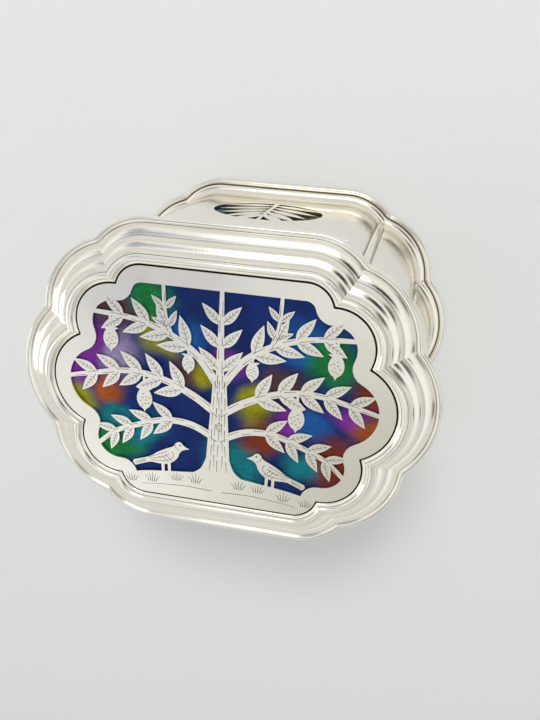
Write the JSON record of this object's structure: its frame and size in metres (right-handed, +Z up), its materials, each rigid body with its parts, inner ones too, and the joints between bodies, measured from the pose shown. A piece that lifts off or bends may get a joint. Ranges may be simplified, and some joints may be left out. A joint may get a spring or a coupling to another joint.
{
  "type": "etrog box",
  "caption": "Lobed silver box with a moulded hinged lid around a pierced tree plate over a rainbow metal sheet, made to hold a citron.",
  "frame": {"origin": "middle of the bounding box at the foot's underside, with the lid closed", "axes": "+X along the long axis, +Y towards the hinge at the back, +Z up through the lid; the front faces -Y"},
  "size_m": [0.152, 0.1164, 0.1045],
  "materials": {
    "silver": "polished sterling silver",
    "rainbow_metal": "heat or anode coloured metal sheet in purple, blue, teal, green, olive and red-brown"
  },
  "bodies": {
    "box": {"body": "silver", "back_window_sheet": "rainbow_metal", "front_window_sheet": "rainbow_metal", "body_hinge": "silver", "hinge_pin": "silver"},
    "lid": {"lid_frame": "silver", "lid_plate": "silver", "lid_colour_sheet": "rainbow_metal", "lid_back_plate": "silver", "lid_hinge": "silver"}
  },
  "joints": [
    {"name": "lid_hinge", "type": "hinge", "parent": "box", "child": "lid", "pos_m": [0, 0.0536, 0.09345], "axis": [-1, 0, 0], "range_deg": [0, 105]}
  ]
}
